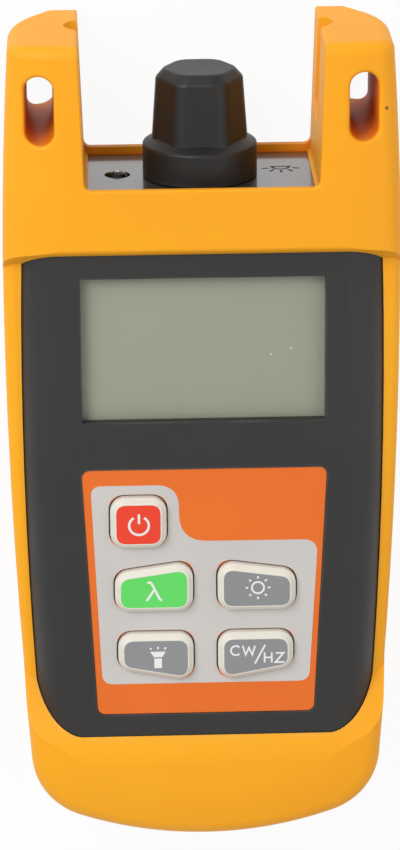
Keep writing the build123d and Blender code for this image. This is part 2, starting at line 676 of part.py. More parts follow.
def make_key_contacts(keys):
    """The contact spots on the board, one in each dome."""
    radius = DOME_TOP_RADIUS - DOME_WALL
    top_z = BOARD_TOP_Z + CONTACT_THICK
    return Compound([rod(*key_centre(points), BOARD_TOP_Z, top_z, radius) for points in keys.values()])


def make_main_board():
    """The main board, notched round the case posts."""
    board = block(-BOARD_HALF_WIDTH, BOARD_HALF_WIDTH, BOARD_FOOT_Y, BOARD_TOP_Y, BOARD_FOOT_Z, BOARD_TOP_Z)
    for x, y in mirrored(CASE_POSTS):
        board -= rod(x, y, BOARD_FOOT_Z, BOARD_TOP_Z, CASE_POST_RADIUS + LOOSE)
    for x, y in mirrored(POSTS):
        board -= rod(x, y, BOARD_FOOT_Z, BOARD_TOP_Z, BOARD_SCREW_RADIUS + FIT)
    return board


def make_chips():
    """The larger parts soldered to the underside of the board."""
    return Compound([block(x - w / 2, x + w / 2, y - l / 2, y + l / 2, BOARD_FOOT_Z - h, BOARD_FOOT_Z)
                     for x, y, w, l, h in CHIPS])


def screws(places, head_z, head_thick, head_radius, radius, length):
    """Pan head screws that point up, with the underside of each head at head_z."""
    made = []
    for x, y in mirrored(places):
        head = rod(x, y, head_z - head_thick, head_z, head_radius)
        head = chamfer(head.edges().sort_by(Axis.Z)[0], head_thick / 2)
        made.append(head + rod(x, y, head_z, head_z + length, radius))
    return Compound(made)


def make_cell(x, reversed_end):
    """A battery cell, with its nub towards the connector end unless reversed."""
    foot_y = BAY_FOOT_Y + PLATE_THICK + SPRING_LENGTH
    cell = rod(0, 0, 0, CELL_LENGTH, CELL_RADIUS)
    cell = chamfer(cell.edges().filter_by(GeomType.CIRCLE), CELL_NUB / 2)
    cell += rod(0, 0, CELL_LENGTH, CELL_LENGTH + CELL_NUB, CELL_NUB_RADIUS)
    if reversed_end:
        top_y = BAY_TOP_Y - PLATE_THICK - SPRING_LENGTH
        return Pos(x, top_y, CELL_Z) * Rot(90, 0, 0) * cell
    return along_y(x, foot_y, CELL_Z) * cell


def leaf_spring(x, seat_y, reach):
    """A bowed strip that pushes on a cell's flat end; reach is its height with a sign."""
    half = SPRING_HALF_WIDTH
    side = math.copysign(SPRING_THICK, reach)
    outer = ThreePointArc((x - half, seat_y), (x, seat_y + reach), (x + half, seat_y))
    inner = ThreePointArc((x - half + SPRING_THICK, seat_y), (x, seat_y + reach - side),
                          (x + half - SPRING_THICK, seat_y))
    feet = [Line((s * half + x, seat_y), (s * (half - SPRING_THICK) + x, seat_y)) for s in (-1, 1)]
    strip = make_face([outer, inner] + feet)
    return extrude(Pos(0, 0, CELL_Z - SPRING_HEIGHT / 2) * strip, SPRING_HEIGHT)


def make_battery():
    """Three cells side by side, joined in a row by the plates and springs at their ends."""
    foot_y = BAY_FOOT_Y + PLATE_THICK
    top_y = BAY_TOP_Y - PLATE_THICK
    half = PLATE_SIZE / 2
    low = CELL_Z - half
    high = CELL_Z + half
    plates = [
        block(-CELL_PITCH - half, half, top_y, BAY_TOP_Y, low, high),
        block(CELL_PITCH - half, CELL_PITCH + half, top_y, BAY_TOP_Y, low, high),
        block(-CELL_PITCH - half, half - CELL_PITCH, BAY_FOOT_Y, foot_y, low, high),
        block(-half, CELL_PITCH + half, BAY_FOOT_Y, foot_y, low, high),
    ]
    springs = [
        leaf_spring(-CELL_PITCH, foot_y, SPRING_LENGTH),
        leaf_spring(0, top_y, -SPRING_LENGTH),
        leaf_spring(CELL_PITCH, foot_y, SPRING_LENGTH),
    ]
    return {
        "battery_cell_1": make_cell(-CELL_PITCH, False),
        "battery_cell_2": make_cell(0, True),
        "battery_cell_3": make_cell(CELL_PITCH, False),
        "battery_plates": Compound(plates),
        "battery_springs": Compound(springs),
    }


def make_battery_cover():
    """The battery cover: a plate that swings on two pins at its upper edge."""
    cover = block(-COVER_HALF_WIDTH, COVER_HALF_WIDTH, COVER_FOOT_Y, PIVOT_Y,
                  CASE_BACK_Z, CASE_BACK_Z + COVER_THICK)
    cover = fillet(cover.edges().filter_by(Axis.Z).sort_by(Axis.Y)[:2], COVER_THICK)
    lengthwise = Pos(0, PIVOT_Y, PIVOT_Z) * Rot(0, 90, 0)
    cover += lengthwise * Cylinder(COVER_THICK / 2, 2 * COVER_HALF_WIDTH)
    cover += lengthwise * Cylinder(PIN_RADIUS, 2 * (COVER_HALF_WIDTH + PIN_LENGTH))
    for i in range(GRIP_LINES):
        y = COVER_FOOT_Y + GRIP_FOOT + i * GRIP_PITCH
        cover -= block(-GRIP_LENGTH / 2, GRIP_LENGTH / 2, y - GRIP_WIDTH / 2, y + GRIP_WIDTH / 2,
                       CASE_BACK_Z - OVER, CASE_BACK_Z + GRIP_DEPTH)
    return cover


def turned(points):
    """A lathe part from half its section, given as radius and height."""
    return revolve(Plane.XZ * make_face(Polyline(*points, close=True)), Axis.Z)


def make_port_body():
    """The port's metal body: flange on the end face, barrel outside, thread inside."""
    top = PORT_FLANGE_THICK + BARREL_LENGTH
    bore_foot = top - BARREL_BORE_DEPTH
    sleeve_bore = SLEEVE_RADIUS + SCREW_FIT
    body = turned([
        (sleeve_bore, -SPIGOT_LENGTH), (SPIGOT_RADIUS, -SPIGOT_LENGTH), (SPIGOT_RADIUS, 0),
        (PORT_FLANGE_RADIUS, 0), (PORT_FLANGE_RADIUS, PORT_FLANGE_THICK),
        (BARREL_RADIUS, PORT_FLANGE_THICK), (BARREL_RADIUS, top), (BARREL_BORE, top),
        (BARREL_BORE, bore_foot), (sleeve_bore, bore_foot)])
    slot = block(-KEY_SLOT_WIDTH / 2, KEY_SLOT_WIDTH / 2, -BIG, 0, top - KEY_SLOT_DEPTH, top + OVER)
    rims = [e for e in body.edges() if abs((e @ 0).Z - PORT_FLANGE_THICK) < TINY]
    body = chamfer(max(rims, key=lambda e: e.length), PORT_FLANGE_EDGE)
    return along_y(0, CASE_END_Y, PART_Z) * (body - slot)


def make_port_sleeve():
    """The split ceramic sleeve that lines up two ferrules."""
    middle = (PORT_FLANGE_THICK + BARREL_LENGTH - BARREL_BORE_DEPTH) / 2
    low = middle - SLEEVE_LENGTH / 2
    high = middle + SLEEVE_LENGTH / 2
    ring = turned([(SLEEVE_BORE, low), (SLEEVE_RADIUS, low), (SLEEVE_RADIUS, high), (SLEEVE_BORE, high)])
    ring -= block(-SLEEVE_SLIT / 2, SLEEVE_SLIT / 2, 0, BIG, low - OVER, high + OVER)
    return along_y(0, CASE_END_Y, PART_Z) * ring


def make_port_nut():
    nut = extrude(RegularPolygon(NUT_ACROSS_CORNERS / 2, 6) - Circle(SPIGOT_RADIUS + SCREW_FIT), NUT_THICK)
    return along_y(0, CASE_END_Y - CASE_WALL - NUT_THICK, PART_Z) * nut


def bent_lead(x, y):
    """A wire that leaves backwards at the height of the port, and turns up to the board."""
    bend_y = y - LEAD_REACH
    wire = bar_y(x, PART_Z, bend_y, y, LEAD_RADIUS) + Pos(x, bend_y, PART_Z) * Sphere(LEAD_RADIUS)
    return wire + rod(x, bend_y, PART_Z, BOARD_FOOT_Z, LEAD_RADIUS)


def make_laser_module():
    """The laser module: a can with a ferrule that reaches into the sleeve, and three leads."""
    nose_y = CASE_END_Y - SPIGOT_LENGTH - FIT
    tail_y = nose_y - MODULE_LENGTH
    module = bar_y(0, PART_Z, tail_y, nose_y, MODULE_RADIUS)
    module += bar_y(0, PART_Z, nose_y, nose_y + FERRULE_LENGTH, FERRULE_RADIUS)
    for x in (-LEAD_PITCH / 2, 0, LEAD_PITCH / 2):
        module += bent_lead(x, tail_y)
    return module


def make_torch_lamp():
    """The torch lamp: a clear round-nosed body with a flange and two leads."""
    nose_y = CASE_END_Y + LAMP_PROUD
    tail_y = nose_y - LAMP_LENGTH
    lamp = bar_y(LAMP_X, PART_Z, tail_y, nose_y - LAMP_RADIUS, LAMP_RADIUS)
    lamp += Pos(LAMP_X, nose_y - LAMP_RADIUS, PART_Z) * Sphere(LAMP_RADIUS)
    lamp += bar_y(LAMP_X, PART_Z, tail_y, tail_y + LAMP_FLANGE_THICK, LAMP_FLANGE_RADIUS)
    for x in (-LEAD_PITCH / 2, LEAD_PITCH / 2):
        lamp += bent_lead(LAMP_X + x, tail_y)
    return lamp


def hexagon(reach, z):
    """A six-sided outline with rounded corners that reach this far to each side."""
    lost = CAP_GRIP_CORNER * (1 / math.sin(math.radians(60)) - 1)
    face = RegularPolygon(reach + lost, 6)
    return Pos(0, 0, z) * fillet(face.vertices(), CAP_GRIP_CORNER)


def make_dust_cap():
    """The dust cap: round collar, sloped shoulder and tapered six-sided grip."""
    grip_top = CAP_GRIP_TOP_Y - CAP_FOOT_Y
    top = CAP_TOP_Y - CAP_FOOT_Y
    shoulder_top = CAP_COLLAR_HEIGHT + CAP_SHOULDER
    shoulder_radius = CAP_COLLAR_RADIUS - 2 * CAP_SHOULDER
    collar = turned([(0, 0), (CAP_COLLAR_RADIUS, 0), (CAP_COLLAR_RADIUS, CAP_COLLAR_HEIGHT),
                     (shoulder_radius, shoulder_top), (0, shoulder_top)])
    rims = [e for e in collar.edges() if abs((e @ 0).Z - CAP_COLLAR_HEIGHT) < TINY]
    collar = fillet(max(rims, key=lambda e: e.length), CAP_SHOULDER / 2)
    grip = loft([hexagon(CAP_GRIP_FOOT, CAP_COLLAR_HEIGHT), hexagon(CAP_GRIP_TOP, grip_top)])
    crown = loft([hexagon(CAP_GRIP_TOP, grip_top), hexagon(CAP_FACE, top)])
    upper = grip + crown
    upper = fillet([e for e in upper.edges() if level_at(e, grip_top)], CAP_CROWN_EDGE)
    upper = fillet([e for e in upper.edges() if level_at(e, top)], CAP_TOP_EDGE)
    cap = collar + upper
    flange_room = PORT_FLANGE_THICK + LOOSE
    cap -= rod(0, 0, -OVER, flange_room, PORT_FLANGE_RADIUS + CAP_FIT)
    cap -= rod(0, 0, 0, CAP_BORE_TOP_Y - CAP_FOOT_Y, BARREL_RADIUS + LOOSE)
    return along_y(0, CAP_FOOT_Y, PART_Z) * cap


def main():
    keys = key_points()
    nodes = {
        "boot": make_boot(),
        "front_shell": make_front_shell(keys),
        "rear_shell": make_rear_shell(),
        "face_label": make_label(keys),
        "spring_mat": make_spring_mat(keys),
        "key_contacts": make_key_contacts(keys),
        "main_board": make_main_board(),
        "board_chips": make_chips(),
        "board_screws": screws(POSTS, BOARD_FOOT_Z, BOARD_SCREW_HEAD_THICK, BOARD_SCREW_HEAD,
                               BOARD_SCREW_RADIUS, BOARD_SCREW_LENGTH),
        "case_screws": screws(CASE_POSTS, CASE_SCREW_SEAT_Z, CASE_SCREW_HEAD_THICK, CASE_SCREW_HEAD,
                              CASE_SCREW_RADIUS, CASE_SCREW_LENGTH),
        "battery_cover": make_battery_cover(),
        "port_body": make_port_body(),
        "port_sleeve": make_port_sleeve(),
        "port_nut": make_port_nut(),
        "laser_module": make_laser_module(),
        "torch_lamp": make_torch_lamp(),
        "dust_cap": make_dust_cap(),
    }
    nodes.update(make_display())
    nodes.update(make_battery())
    for name, points in keys.items():
        nodes[name] = make_key(points)
    os.makedirs("parts", exist_ok=True)
    for name, shape in nodes.items():
        export_step(shape, "parts/" + name + ".step")


main()
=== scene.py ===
# %% [markdown]
# A handheld light source for testing optical fibre, in an orange rubber boot.
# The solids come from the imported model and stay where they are. This notebook gives
# them their finishes, adds the prints and the fine thread, and lights the whole.

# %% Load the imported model
import math

import bmesh
import bpy
from mathutils import Matrix, Vector


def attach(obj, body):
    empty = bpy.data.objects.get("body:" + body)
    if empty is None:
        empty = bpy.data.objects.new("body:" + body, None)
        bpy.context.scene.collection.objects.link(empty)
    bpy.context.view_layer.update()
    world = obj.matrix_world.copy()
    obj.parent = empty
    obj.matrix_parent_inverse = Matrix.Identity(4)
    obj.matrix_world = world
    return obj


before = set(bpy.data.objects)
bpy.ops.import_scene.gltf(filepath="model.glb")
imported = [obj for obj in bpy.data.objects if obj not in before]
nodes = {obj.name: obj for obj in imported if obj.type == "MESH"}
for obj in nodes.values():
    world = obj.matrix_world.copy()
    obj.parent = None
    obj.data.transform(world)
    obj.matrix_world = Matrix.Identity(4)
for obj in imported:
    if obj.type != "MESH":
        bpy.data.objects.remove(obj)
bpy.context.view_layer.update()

MM = 0.001
FACE_Z = 33.0        # the case's face, its end face and the port's axis, in millimetres
END_Y = 56.45
AXIS_Z = 17.5
print("pieces:", len(nodes))

# %% [markdown]
# Fitted to the photograph, the camera stands about 0.8 m away, above the ears, with a
# long lens. Blender's camera looks along its own -Z, so its matrix is made of three
# directions: right, up and back. A 36 mm sensor lies along the tall side.

# %% Camera
camera_right = Vector((0.999424, -0.007174, 0.033154))
camera_up = Vector((0.018078, 0.939661, -0.341629))
camera_place = Vector((-22.94, 270.31, 756.12)) * MM
turn = Matrix((camera_right, camera_up, camera_right.cross(camera_up))).transposed()
camera_data = bpy.data.cameras.new("photo_camera")
camera_data.lens = 157.9
camera_data.sensor_width = 36.0
camera = bpy.data.objects.new("photo_camera", camera_data)
camera.matrix_world = Matrix.Translation(camera_place) @ turn.to_4x4()
bpy.context.scene.collection.objects.link(camera)
bpy.context.scene.camera = camera
print("camera at", tuple(round(v, 3) for v in camera_place))

# %% [markdown]
# Materials are made of nodes. This short helper adds a node, sets its values and
# links its inputs in one line, so that each finish below reads as a list of steps.

# %% Helpers for nodes
def add(tree, kind, values=None, **links):
    """Adds a node. values sets properties or sockets, links joins sockets to inputs."""
    made = tree.nodes.new("ShaderNode" + kind)
    for name, value in (values or {}).items():
        if name in made.inputs:
            made.inputs[name].default_value = value
        else:
            setattr(made, name, value)
    for name, socket in links.items():
        tree.links.new(socket, made.inputs[int(name[1:]) if name[0] == "i" and name[1:].isdigit()
                                           else name.replace("_", " ")])
    return made


def new_group(name, inputs, outputs):
    """An empty node group with named sockets, and its two end nodes."""
    group = bpy.data.node_groups.new(name, "ShaderNodeTree")
    for label, value in inputs:
        socket = group.interface.new_socket(name=label, in_out="INPUT",
                                            socket_type="NodeSocketFloat")
        socket.default_value = value
    for label in outputs:
        group.interface.new_socket(name=label, in_out="OUTPUT", socket_type="NodeSocketFloat")
    return group, group.nodes.new("NodeGroupInput"), group.nodes.new("NodeGroupOutput")


def new_material(name, color, roughness, **values):
    """A material with one Principled shader, and its node tree."""
    material = bpy.data.materials.new(name)
    material.use_nodes = True
    shader = material.node_tree.nodes["Principled BSDF"]
    shader.inputs["Base Color"].default_value = (*color, 1.0)
    shader.inputs["Roughness"].default_value = roughness
    for label, value in values.items():
        shader.inputs[label.replace("_", " ")].default_value = value
    return material, material.node_tree, shader


def use_group(tree, group, **values):
    """Adds a shared node group and sets its values."""
    made = tree.nodes.new("ShaderNodeGroup")
    made.node_tree = group
    for label, value in values.items():
        made.inputs[label.replace("_", " ")].default_value = value
    return made


# %% [markdown]
# Moulded rubber and plastic take the fine texture of their tool. Noise at two sizes
# stands for it: a fine grain for the bump, and slow clouds where the colour drifts.
# Object coordinates are in metres and move with the piece, so nothing slides.

# %% Node group: moulded grain
grain_group, grain_in, grain_out = new_group(
    "moulded_grain", [("Grain Scale", 2500.0), ("Cloud Scale", 30.0)], ["Height", "Cloud"])
coords = add(grain_group, "TexCoord")
fine = add(grain_group, "TexNoise", {"Detail": 4.0, "Roughness": 0.6},
           Vector=coords.outputs["Object"], Scale=grain_in.outputs["Grain Scale"])
cloud = add(grain_group, "TexNoise", {"Detail": 3.0, "Roughness": 0.5},
            Vector=coords.outputs["Object"], Scale=grain_in.outputs["Cloud Scale"])
grain_group.links.new(fine.outputs["Fac"], grain_out.inputs["Height"])
grain_group.links.new(cloud.outputs["Fac"], grain_out.inputs["Cloud"])

# %% [markdown]
# Edges that hands and benches rub turn a little lighter and smoother. The Bevel node
# gives the normal of a rounded edge; where it leaves the true normal there is an edge.
# Noise breaks the line up, because wear is never even.

# %% Node group: rubbed edges
edge_group, edge_in, edge_out = new_group(
    "rubbed_edges", [("Reach", 0.0012), ("Patch Scale", 90.0)], ["Mask"])
rounded = add(edge_group, "Bevel", {"samples": 6}, Radius=edge_in.outputs["Reach"])
true_normal = add(edge_group, "NewGeometry")
same = add(edge_group, "VectorMath", {"operation": "DOT_PRODUCT"})
edge_group.links.new(rounded.outputs["Normal"], same.inputs[0])
edge_group.links.new(true_normal.outputs["Normal"], same.inputs[1])
edge = add(edge_group, "MapRange", {"From Min": 0.99, "From Max": 0.8}, Value=same.outputs["Value"])
coords = add(edge_group, "TexCoord")
patches = add(edge_group, "TexNoise", {"Detail": 5.0},
              Vector=coords.outputs["Object"], Scale=edge_in.outputs["Patch Scale"])
patch = add(edge_group, "MapRange", {"From Min": 0.35, "From Max": 0.65},
            Value=patches.outputs["Fac"])
worn = add(edge_group, "Math", {"operation": "MULTIPLY"},
           i0=edge.outputs["Result"], i1=patch.outputs["Result"])
edge_group.links.new(worn.outputs["Value"], edge_out.inputs["Mask"])

# %% [markdown]
# Dust and grime stay in corners that a cloth doesn't reach, and shade falls in the same
# corners. Ambient Occlusion finds them: it is low where other surfaces are near. The darker
# colour it brings in is partly dust and partly painted shade. Only the piece's own surfaces
# count, so that the floor leaves no grime or painted shade on what lies on it.

# %% Node group: grime and painted shade in corners
grime_and_shade_group, grime_and_shade_in, grime_and_shade_out = new_group(
    "grime_and_shade_corners", [("Reach", 0.004), ("Patch Scale", 60.0)], ["Mask"])
# The corner darkening is partly dust and partly painted shade.
near = add(grime_and_shade_group, "AmbientOcclusion", {"samples": 6, "only_local": True},
           Distance=grime_and_shade_in.outputs["Reach"])
corner = add(grime_and_shade_group, "MapRange", {"From Min": 0.75, "From Max": 0.3}, Value=near.outputs["AO"])
coords = add(grime_and_shade_group, "TexCoord")
spread = add(grime_and_shade_group, "TexNoise", {"Detail": 4.0},
             Vector=coords.outputs["Object"], Scale=grime_and_shade_in.outputs["Patch Scale"])
kept = add(grime_and_shade_group, "Math", {"operation": "MULTIPLY"},
           i0=corner.outputs["Result"], i1=spread.outputs["Fac"])
grime_and_shade_group.links.new(kept.outputs["Value"], grime_and_shade_out.inputs["Mask"])

# %% [markdown]
# Most finishes here share one build: a colour that drifts between two tones, lighter
# where edges are rubbed, darker in corners where grime sits and where shade is painted,
# with the grain as a bump. Only the values differ, so one function wires them and each
# finish keeps its own Principled.

# %% A moulded finish
def mix(tree, factor, first, second):
    """A colour mix. factor, first and second are sockets or plain values."""
    made = tree.nodes.new("ShaderNodeMix")
    made.data_type = "RGBA"
    for socket, value in zip((made.inputs[0], made.inputs[6], made.inputs[7]), (factor, first, second)):
        if isinstance(value, bpy.types.NodeSocket):
            tree.links.new(value, socket)
        else:
            socket.default_value = value if isinstance(value, float) else (*value, 1.0)
    return made.outputs[2]


def moulded(name, color, second, roughness, grain=0.15, grain_scale=2500.0, cloud_scale=30.0,
            rubbed=None, rubbed_share=0.3, grime_and_shade=None, grime_and_shade_share=0.3, reach=0.0012,
            spread=0.1, **values):
    """A moulded finish: two tones, rubbed edges, grime and painted shade in corners, a fine grain."""
    material, tree, shader = new_material(name, color, roughness, **values)
    texture = use_group(tree, grain_group, Grain_Scale=grain_scale, Cloud_Scale=cloud_scale)
    drift = add(tree, "MapRange", {"From Min": 0.35, "From Max": 0.65}, Value=texture.outputs["Cloud"])
    base = mix(tree, drift.outputs["Result"], color, second)
    if rubbed:
        edges = use_group(tree, edge_group, Reach=reach)
        share = add(tree, "MapRange", {"To Max": rubbed_share}, Value=edges.outputs["Mask"])
        base = mix(tree, share.outputs["Result"], base, rubbed)
    # Darker in corners: partly grime, partly painted shade.
    if grime_and_shade:
        corners = use_group(tree, grime_and_shade_group)
        share = add(tree, "MapRange", {"To Max": grime_and_shade_share}, Value=corners.outputs["Mask"])
        base = mix(tree, share.outputs["Result"], base, grime_and_shade)
    tree.links.new(base, shader.inputs["Base Color"])
    rough = add(tree, "MapRange", {"From Min": 0.3, "From Max": 0.7,
                                   "To Min": roughness - spread / 2, "To Max": roughness + spread / 2},
                Value=texture.outputs["Cloud"])
    tree.links.new(rough.outputs["Result"], shader.inputs["Roughness"])
    bump = add(tree, "Bump", {"Strength": grain, "Distance": 0.00005}, Height=texture.outputs["Height"])
    tree.links.new(bump.outputs["Normal"], shader.inputs["Normal"])
    return material


def dress(material, *names):
    """Gives CAD nodes a material."""
    for name in names:
        mesh = nodes[name].data
        mesh.materials.clear()
        mesh.materials.append(material)
    print(material.name, "on", ", ".join(names))


# %% [markdown]
# The boot is soft orange rubber with a satin skin. Light goes a little way into it, so
# some subsurface scattering keeps its shadows warm, as they are inside the ear gap.

# %% Finish: boot rubber
# Its corner colour, a dark red, is partly painted shade.
boot_rubber = moulded("boot_rubber", (1.0, 0.432, 0.011), (0.97, 0.395, 0.009), 0.5, grain=0.12,
                      cloud_scale=14.0, rubbed=(1.0, 0.52, 0.10), rubbed_share=0.25,
                      grime_and_shade=(0.35, 0.09, 0.01), grime_and_shade_share=0.5,
                      Subsurface_Weight=0.12, Subsurface_Radius=(1.0, 0.35, 0.1), Subsurface_Scale=0.003,
                      Specular_IOR_Level=0.28)
dress(boot_rubber, "boot")

# %% [markdown]
# Where rubber faces rubber the light between them turns redder with each bounce. A wide
# ambient occlusion paints that redder, darker shade into the colour of those hollows,
# and a small dark speck marks the right ear.

# %% Boot rubber: painted shade in the hollows, and a speck
SPECK = (0.03714, 0.07394, 0.033)
tree = boot_rubber.node_tree
shader = tree.nodes["Principled BSDF"]
base = shader.inputs["Base Color"].links[0].from_socket
hollow_occlusion = add(tree, "AmbientOcclusion", {"samples": 8, "only_local": True, "Distance": 0.03})
painted_hollow_shade = add(tree, "MapRange", {"From Min": 0.85, "From Max": 0.3, "To Max": 0.75},
            Value=hollow_occlusion.outputs["AO"])
# Painted shade: a deeper red mixed into the hollows.
base = mix(tree, painted_hollow_shade.outputs["Result"], base, (0.72, 0.14, 0.006))
where = add(tree, "TexCoord")
speck = add(tree, "VectorMath", {"operation": "DISTANCE"}, i0=where.outputs["Object"])
speck.inputs[1].default_value = SPECK
dot = add(tree, "MapRange", {"From Min": 0.00045, "From Max": 0.0003, "To Max": 0.8},
          Value=speck.outputs["Value"])
base = mix(tree, dot.outputs["Result"], base, (0.08, 0.03, 0.01))
tree.links.new(base, shader.inputs["Base Color"])
print("speck at", SPECK)

# %% [markdown]
# The case is a dark grey plastic with a fine matte texture.

# %% Finish: case plastic
# Its darker corner colour is partly painted shade.
case_plastic = moulded("case_plastic", (0.028, 0.0262, 0.0255), (0.023, 0.022, 0.0215), 0.5, grain=0.5,
                       grain_scale=3200.0, rubbed=(0.16, 0.15, 0.15), rubbed_share=0.5,
                       grime_and_shade=(0.015, 0.014, 0.014), reach=0.0008)
dress(case_plastic, "front_shell", "rear_shell", "battery_cover")

# %% [markdown]
# The end face between the ears is polished, as a mould's flat end often is, so at a
# low angle it mirrors what lies above it. A mask on the length axis picks that face.

# %% Case plastic: polished end face
tree = case_plastic.node_tree
shader = tree.nodes["Principled BSDF"]
shader.inputs["Coat Roughness"].default_value = 0.12
shader.inputs["Coat IOR"].default_value = 1.9
where = add(tree, "TexCoord")
axes = add(tree, "SeparateXYZ", Vector=where.outputs["Object"])
at_end = add(tree, "MapRange", {"From Min": (END_Y - 0.45) * MM, "From Max": (END_Y - 0.15) * MM},
             Value=axes.outputs["Y"])
tree.links.new(at_end.outputs["Result"], shader.inputs["Coat Weight"])
print("polished face at", END_Y, "mm")

# %% [markdown]
# The dust cap is black rubber. Its edges turn greyer where fingers grip it.

# %% Finish: dust cap rubber
cap_rubber = moulded("cap_rubber", (0.0105, 0.01, 0.0095), (0.008, 0.0076, 0.0073), 0.5, grain=0.35,
                     rubbed=(0.07, 0.068, 0.066), rubbed_share=0.4, reach=0.0015)
dress(cap_rubber, "dust_cap")

# %% [markdown]
# The label is a printed film with an orange ground. The keys are ivory plastic, which
# lets a little light in.

# %% Finish: label film and key plastic
label_film = moulded("label_film", (0.84, 0.165, 0.011), (0.80, 0.152, 0.01), 0.42,
                     grain=0.2, grain_scale=4000.0)
dress(label_film, "face_label")
# The keys' darker corner colour is partly painted shade.
key_plastic = moulded("key_plastic", (0.80, 0.77, 0.68), (0.77, 0.74, 0.65), 0.4, grain=0.08,
                      grime_and_shade=(0.4, 0.37, 0.3), Subsurface_Weight=0.1,
                      Subsurface_Radius=(1.0, 0.8, 0.6), Subsurface_Scale=0.001)
KEYS = ("key_power", "key_wavelength", "key_display_light", "key_torch", "key_mode")
dress(key_plastic, *KEYS)

# %% [markdown]
# The liquid crystal panel is grey-green and lies behind a thin clear pane. The pane is
# nearly see-through by its Alpha, so it only adds a soft shine.

# %% Finish: display
panel_glass = moulded("panel_glass", (0.262, 0.267, 0.147), (0.25, 0.256, 0.139), 0.35,
                      grain=0.02, spread=0.04)
dress(panel_glass, "display_panel")
pane_clear = moulded("pane_clear", (0.8, 0.82, 0.8), (0.78, 0.8, 0.78), 0.1,
                     grain=0.01, spread=0.04, Alpha=0.12)
dress(pane_clear, "display_pane")

# %% [markdown]
# Most of these pieces never show. The torch lamp does, the port does once its cap is
# off, and the cells do once the cover is open. Each has a finish of its own all the
# same: first the plastics and rubbers, then the board, then the metals and the rest.

# %% Finishes: inner plastics and rubbers
white_plastic = moulded("white_plastic", (0.75, 0.75, 0.72), (0.7, 0.7, 0.67), 0.5)
dress(white_plastic, "display_frame")
light_guide = moulded("light_guide", (0.8, 0.82, 0.8), (0.76, 0.78, 0.76), 0.2,
                      Transmission_Weight=0.5)
dress(light_guide, "display_backlight")
strip_rubber = moulded("strip_rubber", (0.55, 0.3, 0.28), (0.5, 0.27, 0.25), 0.6)
dress(strip_rubber, "display_connector")
mat_silicone = moulded("mat_silicone", (0.45, 0.45, 0.43), (0.4, 0.4, 0.38), 0.5,
                       Subsurface_Weight=0.2, Subsurface_Scale=0.001)
dress(mat_silicone, "spring_mat")

# %% Finishes: board
contact_gold = moulded("contact_gold", (0.8, 0.55, 0.2), (0.75, 0.5, 0.18), 0.3, Metallic=1.0)
dress(contact_gold, "key_contacts")
board_green = moulded("board_green", (0.02, 0.16, 0.06), (0.016, 0.13, 0.05), 0.3)
dress(board_green, "main_board")
chip_black = moulded("chip_black", (0.02, 0.02, 0.02), (0.03, 0.03, 0.03), 0.5)
dress(chip_black, "board_chips")

# %% Finishes: metals, ceramic, lamp and cells
screw_steel = moulded("screw_steel", (0.5, 0.5, 0.48), (0.42, 0.42, 0.4), 0.3, Metallic=1.0)
dress(screw_steel, "board_screws", "case_screws")
port_nickel = moulded("port_nickel", (0.66, 0.63, 0.58), (0.6, 0.57, 0.52), 0.22, Metallic=1.0)
dress(port_nickel, "port_body", "port_nut")
sleeve_ceramic = moulded("sleeve_ceramic", (0.85, 0.85, 0.82), (0.82, 0.82, 0.79), 0.25)
dress(sleeve_ceramic, "port_sleeve")
module_steel = moulded("module_steel", (0.62, 0.52, 0.33), (0.56, 0.47, 0.3), 0.3, Metallic=1.0)
dress(module_steel, "laser_module")
lamp_clear = moulded("lamp_clear", (0.9, 0.92, 0.95), (0.88, 0.9, 0.93), 0.06,
                     grain=0.01, spread=0.02, Transmission_Weight=1.0)
dress(lamp_clear, "torch_lamp")
cell_jacket = moulded("cell_jacket", (0.05, 0.05, 0.055), (0.06, 0.06, 0.065), 0.25)
dress(cell_jacket, "battery_cell_1", "battery_cell_2", "battery_cell_3")
spring_steel = moulded("spring_steel", (0.6, 0.6, 0.58), (0.52, 0.52, 0.5), 0.3, Metallic=1.0)
dress(spring_steel, "battery_plates", "battery_springs")

# %% [markdown]
# The label's grey field, the coloured fields of the keys and the white marks are ink:
# layers a fiftieth of a millimetre thick, drawn as flat outlines and given that height.
# An outline inside another one is a hole, such as the ones round the keys.

# %% Helpers for printed layers
INK = 0.02
TRACE = 0.002
LABEL_Z = FACE_Z - 0.2
KEY_Z = FACE_Z + 2.1


def ink(name, color, roughness=0.45):
    """A finish for ink: one colour that drifts very little."""
    return moulded(name, color, tuple(0.93 * part for part in color), roughness,
                   grain=0.1, grain_scale=5000.0)


def level(z):
    """Where a layer on a level face at height z lies."""
    return Matrix.Translation((0, 0, (z + INK / 2) * MM))


def placed(name, mesh, where, material, body):
    """Puts a layer's mesh in place and lets it ride its body."""
    mesh.materials.clear()
    mesh.materials.append(material)
    piece = bpy.data.objects.new(name, mesh)
    piece.matrix_world = where
    bpy.context.scene.collection.objects.link(piece)
    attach(piece, body)


def printed(name, loops, where, material, body):
    """A printed field. Inner loops are holes."""
    curve = bpy.data.curves.new(name, "CURVE")
    curve.dimensions = "2D"
    curve.fill_mode = "BOTH"
    curve.extrude = INK / 2 * MM
    for loop in loops:
        spline = curve.splines.new("POLY")
        spline.points.add(len(loop) - 1)
        for point, (x, y) in zip(spline.points, loop):
            point.co = (x * MM, y * MM, 0, 1)
        spline.use_cyclic_u = True
    drawn = bpy.data.objects.new(name, curve)
    mesh = bpy.data.meshes.new_from_object(drawn)
    mesh.name = name
    bpy.data.objects.remove(drawn)
    bpy.data.curves.remove(curve)
    placed(name, mesh, where, material, body)


